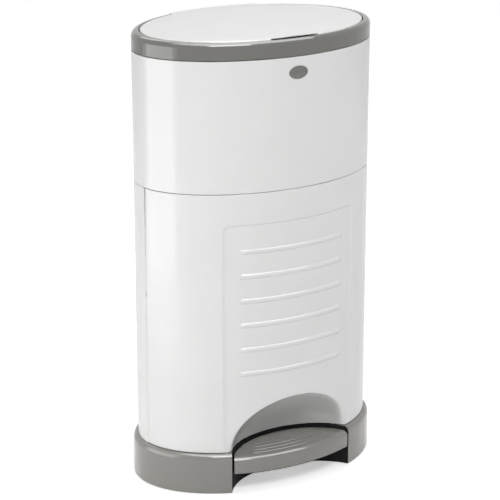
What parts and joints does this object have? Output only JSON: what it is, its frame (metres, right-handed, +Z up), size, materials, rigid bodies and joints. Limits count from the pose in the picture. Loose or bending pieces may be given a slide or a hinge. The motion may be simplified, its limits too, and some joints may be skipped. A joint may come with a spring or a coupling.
{
  "type": "pedal nappy bin",
  "caption": "Oval free-standing nappy bin with a foot pedal that lifts a domed lid, a hinged top ring over the refill, sprung trap flaps and a hinged ribbed front door.",
  "frame": {"origin": "centre of the footprint, on the floor under the feet", "axes": "+X to the right of someone who faces the bin, +Y to the back, +Z up; the door, pedal and release button are on the -Y side"},
  "size_m": [0.3584, 0.2442, 0.6285],
  "materials": {
    "white_shell": "glossy white moulded plastic",
    "warm_grey": "satin warm grey moulded plastic",
    "black_plastic": "plain black moulded plastic",
    "steel": "plain steel",
    "foot_rubber": "soft dark rubber",
    "film": "folded thin plastic film"
  },
  "bodies": {
    "base": {"base_plinth": "warm_grey", "base_pan": "black_plastic", "foot_pads": "foot_rubber", "pan_screws": "steel", "rear_body": "white_shell", "upper_body": "white_shell", "flange_screws": "steel", "floor_panel": "white_shell", "door_pins": "steel", "door_catch": "steel", "ring_pin": "steel", "trap_frame": "warm_grey", "flap_pins": "steel", "refill_cassette": "white_shell", "refill_cover": "warm_grey", "film_pack": "film", "pedal_axle": "steel", "rod_guides": "black_plastic", "rod_cover": "white_shell"},
    "door": {"front_door": "white_shell"},
    "hatch": {"top_ring": "warm_grey", "ring_funnel": "white_shell", "lid_pins": "steel"},
    "lid": {"lid": "white_shell", "lid_seal": "foot_rubber", "lid_roller": "steel"},
    "pedal": {"pedal": "warm_grey", "pedal_lever": "steel", "pedal_screws": "steel"},
    "rod": {"push_rod": "steel", "rod_cap": "black_plastic", "rod_foot": "black_plastic", "rod_collar": "steel", "rod_spring": "steel"},
    "left_flap": {"flap_left": "white_shell"},
    "right_flap": {"flap_right": "white_shell"},
    "button": {"release_button": "warm_grey"}
  },
  "joints": [
    {"name": "pedal_press", "type": "hinge", "parent": "base", "child": "pedal", "pos_m": [0, -0.002, 0.024], "axis": [1, 0, 0], "range_deg": [0, 12.5], "stiffness_Nm_per_rad": 2, "springref_deg": -8.59},
    {"name": "push_rod_lift", "type": "slide", "parent": "base", "child": "rod", "axis": [0, 0, 1], "range_m": [0, 0.0196], "deforming": ["rod_spring"]},
    {"name": "hatch_lift", "type": "hinge", "parent": "base", "child": "hatch", "pos_m": [0, 0.11, 0.5925], "axis": [-1, 0, 0], "range_deg": [0, 70]},
    {"name": "lid_lift", "type": "hinge", "parent": "hatch", "child": "lid", "pos_m": [0, 0.1, 0.616], "axis": [-1, 0, 0], "range_deg": [0, 75.5]},
    {"name": "door_swing", "type": "hinge", "parent": "base", "child": "door", "pos_m": [0.16513, -0.016, 0.24], "axis": [0, 0, 1], "range_deg": [0, 100]},
    {"name": "left_flap_drop", "type": "hinge", "parent": "base", "child": "left_flap", "pos_m": [-0.07, -0.01, 0.531], "axis": [0, 1, 0], "range_deg": [0, 70], "stiffness_Nm_per_rad": 0.03, "springref_deg": -34.38},
    {"name": "right_flap_drop", "type": "hinge", "parent": "base", "child": "right_flap", "pos_m": [0.07, -0.01, 0.531], "axis": [0, -1, 0], "range_deg": [0, 70], "stiffness_Nm_per_rad": 0.03, "springref_deg": -34.38},
    {"name": "button_press", "type": "slide", "parent": "base", "child": "button", "axis": [0, 1, 0], "range_m": [0, 0.003], "stiffness_N_per_m": 600, "springref_m": -0.001}
  ],
  "couplings": [
    {"joint": "push_rod_lift", "follows": "pedal_press", "m_per_rad": 0.08929},
    {"joint": "lid_lift", "follows": "pedal_press", "ratio": 6}
  ]
}
